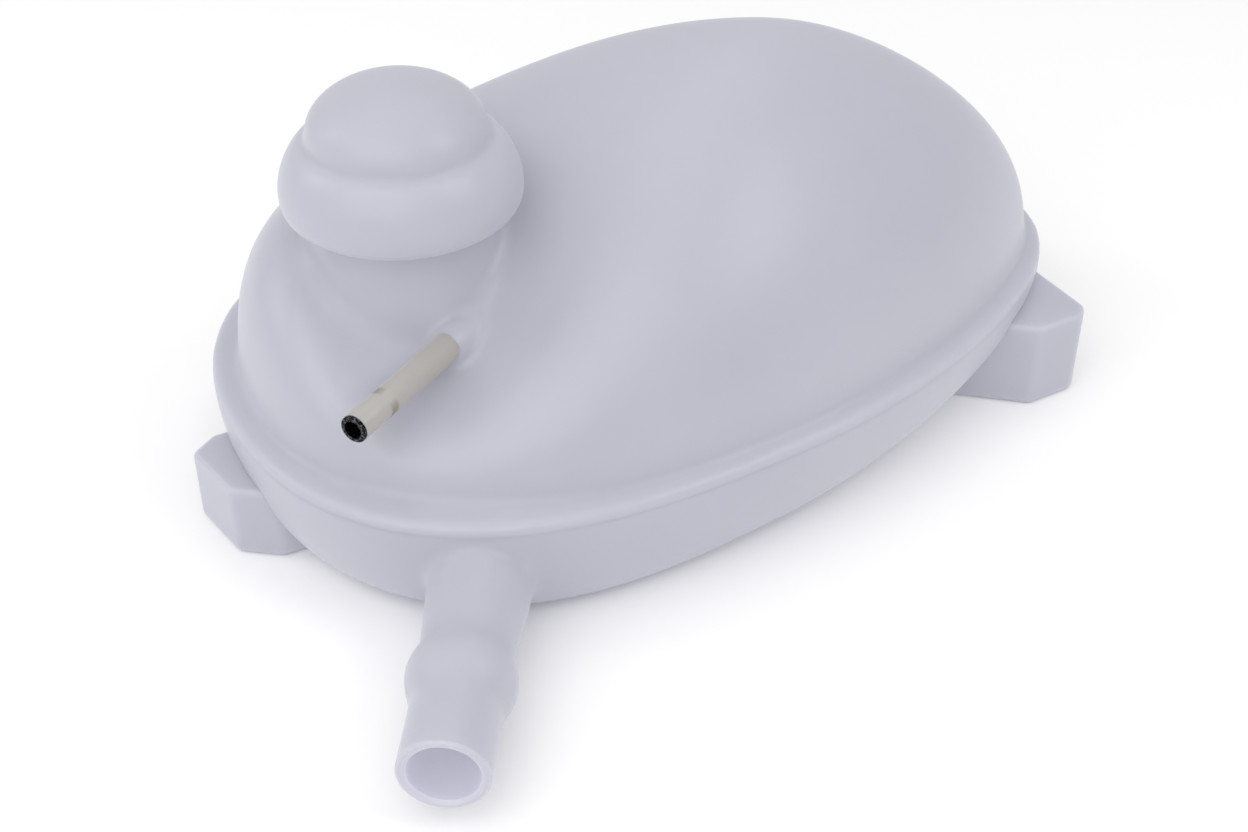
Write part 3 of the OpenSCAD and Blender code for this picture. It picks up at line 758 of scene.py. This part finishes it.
def sleeve_end_shade(tree, place):
    """Painted shade: a narrow band round the nipple at the sleeve's inner end, strongest on its two sides.
    """
    offset = add_node(tree, "ShaderNodeVectorMath", [(place, 0)], operation="SUBTRACT")
    offset.inputs[1].default_value = tuple(nipple_start)
    across, up, along = level_axes(NIPPLE_TURN)
    reads = []
    for direction, centre, (low, high) in [(along, NIPPLE_RUN - SLEEVE_LENGTH, BAND_FADE),
                                           (SIDE_ACROSS * across + SIDE_UP * up, 0.0, SIDE_FADE)]:
        read = add_node(tree, "ShaderNodeVectorMath", [(offset.outputs["Vector"], 0)],
                        operation="DOT_PRODUCT")
        read.inputs[1].default_value = tuple(direction)
        shift = add_node(tree, "ShaderNodeMath", [(read.outputs["Value"], 0)], operation="SUBTRACT")
        shift.inputs[1].default_value = centre
        size = add_node(tree, "ShaderNodeMath", [(shift.outputs["Value"], 0)], operation="ABSOLUTE")
        fade = add_node(tree, "ShaderNodeMapRange", [(size.outputs["Value"], "Value")],
                        From_Min=low, From_Max=high)
        reads.append(fade.outputs["Result"])
    both = add_node(tree, "ShaderNodeMath", [(reads[0], 0), (reads[1], 1)], operation="MULTIPLY")
    return both.outputs["Value"]


print("sleeve ends", round(NIPPLE_RUN - SLEEVE_LENGTH, 4), "m from the nipple's start")

# %% [markdown]
# Tank and cap are the same lilac-white polypropylene. The nipple is warmer and a little shinier, as a
# polyamide tube is. The cap has a material of its own, so that it can be changed alone.

# %% Plastics of the tank and the cap
LILAC, LILAC_DARK = "#A6A6B0", "#9E9EA9"
TANK_DEPTH, TANK_ROUGHNESS = 0.006, 0.36
NIPPLE_DEPTH, NIPPLE_ROUGHNESS = 0.003, 0.30

tank_plastic = milky_plastic("natural_polypropylene", LILAC, LILAC_DARK, TANK_DEPTH, TANK_ROUGHNESS,
                             lit=in_spigot)
cap_plastic = milky_plastic("natural_polypropylene_cap", LILAC, LILAC_DARK, TANK_DEPTH, TANK_ROUGHNESS)
nipple_plastic = milky_plastic("natural_polyamide_nipple", "#9D9A97", "#93908D", NIPPLE_DEPTH,
                               NIPPLE_ROUGHNESS, painted_shade=sleeve_end_shade)
for piece, material in [(upper_skin, tank_plastic), (lower_skin, tank_plastic), (cap_skin, cap_plastic),
                        (bleed_nipple, nipple_plastic), (neck_thread, tank_plastic),
                        (cap_thread, cap_plastic)]:
    dress(piece, material)
    print(piece.name, "wears", material.name)

# %% [markdown]
# The valve in the cap is made of moulded acetal, silicone rubber, stamped brass and spring wire, and
# the nipple's sleeve of blackened steel. The solids already have the right shapes, so they only get
# materials: metals with fine scratches in their gloss, and polymers with a fine grain in their bump.

# %% Materials of the valve and the sleeve
SPECK_SCALE = 2200.0  # worn specks about 0.5 mm wide
GRAIN_SCALE = 1500.0  # grain about 0.7 mm wide, coarser than the real one so that it shows


def metal(name, colour, roughness, scratch_scale, worn=None):
    """Bare metal: fine scratches change its roughness, and worn specks may show another colour."""
    material, tree, shader, place = new_material(name)
    shader.inputs["Base Color"].default_value = hex_linear(colour)
    shader.inputs["Metallic"].default_value = 1.0
    scratch = add_node(tree, "ShaderNodeTexNoise", [(place, "Vector")], Scale=scratch_scale, Detail=5.0)
    rough = add_node(tree, "ShaderNodeMapRange", [(scratch.outputs["Fac"], "Value")],
                     To_Min=roughness - 0.08, To_Max=roughness + 0.12)
    tree.links.new(rough.outputs["Result"], shader.inputs["Roughness"])
    if worn:
        speck = add_node(tree, "ShaderNodeTexNoise", [(place, "Vector")], Scale=SPECK_SCALE, Detail=2.0)
        bare = add_node(tree, "ShaderNodeMapRange", [(speck.outputs["Fac"], "Value")],
                        From_Min=0.52, From_Max=0.62)
        tone = add_node(tree, "ShaderNodeMix", [(bare.outputs["Result"], "Factor")], data_type="RGBA",
                        A=hex_linear(colour), B=hex_linear(worn))
        tree.links.new(tone.outputs["Result"], shader.inputs["Base Color"])
    return material


def moulded(name, colour, roughness):
    """Moulded polymer or rubber: a fine grain in the bump, nearly even colour."""
    material, tree, shader, place = new_material(name)
    shader.inputs["Base Color"].default_value = hex_linear(colour)
    shader.inputs["Roughness"].default_value = roughness
    grain = add_node(tree, "ShaderNodeTexNoise", [(place, "Vector")], Scale=GRAIN_SCALE, Detail=2.0)
    bump = add_node(tree, "ShaderNodeBump", [(grain.outputs["Fac"], "Height")], Strength=0.15,
                    Distance=0.0001)
    tree.links.new(bump.outputs["Normal"], shader.inputs["Normal"])
    return material


sleeve_steel = metal("blackened_steel_sleeve", "#161618", 0.40, 900.0, worn="#5E5E62")
spring_steel = metal("drawn_spring_wire", "#B4B4B8", 0.28, 1200.0)
stamped_brass = metal("stamped_brass", "#C9A25A", 0.30, 800.0)
acetal = moulded("moulded_acetal", "#E4E2DC", 0.42)
silicone = moulded("silicone_rubber", "#B9B4AA", 0.55)
node_finish = {"nipple_sleeve": sleeve_steel, "valve_housing": acetal, "spring_retainer": acetal,
               "neck_o_ring": silicone, "relief_seal": silicone, "relief_spring": spring_steel,
               "vacuum_spring": spring_steel, "relief_plate": stamped_brass, "vacuum_valve": stamped_brass}
for node, material in node_finish.items():
    dress(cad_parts[node], material)
print("dressed solids:", sorted(node_finish))

# %% [markdown]
# ## Floor, light and camera
# The photo shows the tank on pure white with hardly a shadow. The floor is a sheet of white paper
# just under the tank. The world fills the shade with soft light, and where the camera sees past the
# floor it is plain white, which Light Path's Is Camera Ray picks out.

# %% Floor and world
FLOOR_HALF, FLOOR_GAP = 4.0, 0.0002
PAPER_WHITE, PAPER_ROUGHNESS = "#FAFAFA", 0.9
WORLD_FILL = 0.60
WHITE = (1, 1, 1, 1)

floor_corners = [(x * FLOOR_HALF, y * FLOOR_HALF, 0) for x, y in [(-1, -1), (1, -1), (1, 1), (-1, 1)]]
floor_mesh = bpy.data.meshes.new("floor")
floor_mesh.from_pydata(floor_corners, [], [(0, 1, 2, 3)])
floor = bpy.data.objects.new("floor", floor_mesh)
floor.location.z = -FLOOR_GAP
scene.collection.objects.link(floor)
white_paper = bpy.data.materials.new("white_paper")
white_paper.use_nodes = True
paper_shader = white_paper.node_tree.nodes["Principled BSDF"]
paper_shader.inputs["Base Color"].default_value = hex_linear(PAPER_WHITE)
paper_shader.inputs["Roughness"].default_value = PAPER_ROUGHNESS
dress(floor, white_paper)

world = bpy.data.worlds.new("studio")
scene.world = world
world.use_nodes = True
world_tree = world.node_tree
fill = world_tree.nodes["Background"]
fill.inputs["Color"].default_value = WHITE
fill.inputs["Strength"].default_value = WORLD_FILL
backdrop = add_node(world_tree, "ShaderNodeBackground", Color=WHITE, Strength=1.0)
seen = add_node(world_tree, "ShaderNodeLightPath")
choose = add_node(world_tree, "ShaderNodeMixShader", [(seen.outputs["Is Camera Ray"], "Fac")])
world_tree.links.new(fill.outputs["Background"], choose.inputs[1])
world_tree.links.new(backdrop.outputs["Background"], choose.inputs[2])
world_tree.links.new(choose.outputs["Shader"], world_tree.nodes["World Output"].inputs["Surface"])
print("world fill:", WORLD_FILL)

# %% [markdown]
# Four soft boxes light the tank: a wide one in front, a wide one overhead, a narrow one at the left
# and one at the right. Area lamps give soft edges because they are large. Each one is turned to face
# the point that it aims at, and all stay weak enough for the plastic not to clip to white.

# %% Soft boxes
TANK_MIDDLE, NECK_SIDE = (0, 0, 0.04), (-0.02, -0.03, 0.05)


def soft_box(name, place, aim, size, power):
    """A rectangular lamp that faces its aim."""
    lamp = bpy.data.lights.new(name, "AREA")
    lamp.shape, lamp.size, lamp.size_y, lamp.energy = "RECTANGLE", size[0], size[1], power
    box = bpy.data.objects.new(name, lamp)
    scene.collection.objects.link(box)
    box.location = place
    box.rotation_mode = "QUATERNION"
    box.rotation_quaternion = (Vector(aim) - Vector(place)).to_track_quat("-Z", "Y")
    print(name, "soft box:", power, "W")


def at_angle(azimuth, elevation, distance):
    """A point that far from the tank, in that direction: the azimuth is turned from +X."""
    a, e = np.radians(azimuth), np.radians(elevation)
    return (distance * np.cos(a) * np.cos(e), distance * np.sin(a) * np.cos(e), distance * np.sin(e))


soft_box("left", at_angle(150, 34, 1.0), TANK_MIDDLE, (0.26, 0.46), 0.9)
soft_box("front", at_angle(-138, 42, 1.0), NECK_SIDE, (1.2, 0.9), 4.3)
soft_box("right", at_angle(-48, 45, 1.1), TANK_MIDDLE, (0.40, 0.50), 1.7)
soft_box("top", (0.0, 0.1, 1.2), TANK_MIDDLE, (1.6, 1.2), 3.6)

# %% [markdown]
# The camera was fitted to the photo: where it stands, where it looks, and a focal length of 1850
# pixels in a frame of 1248, which a sensor of 36 mm turns into a lens of about 53 mm.

# %% Camera
EYE, LOOK = Vector((-0.1719, -0.3183, 0.2677)), Vector((0.3651, 0.7103, -0.6018))
SENSOR, FOCAL_PIXELS, PHOTO_WIDTH = 36.0, 1850, 1248

camera_data = bpy.data.cameras.new("camera")
camera_data.sensor_width = SENSOR
camera_data.lens = SENSOR * FOCAL_PIXELS / PHOTO_WIDTH
camera_data.clip_start = 0.01
camera = bpy.data.objects.new("camera", camera_data)
scene.collection.objects.link(camera)
camera.location = EYE
camera.rotation_mode = "QUATERNION"
camera.rotation_quaternion = LOOK.to_track_quat("-Z", "Y")
scene.camera = camera
scene.view_settings.view_transform = "Standard"
print("lens:", round(camera_data.lens, 1), "mm")
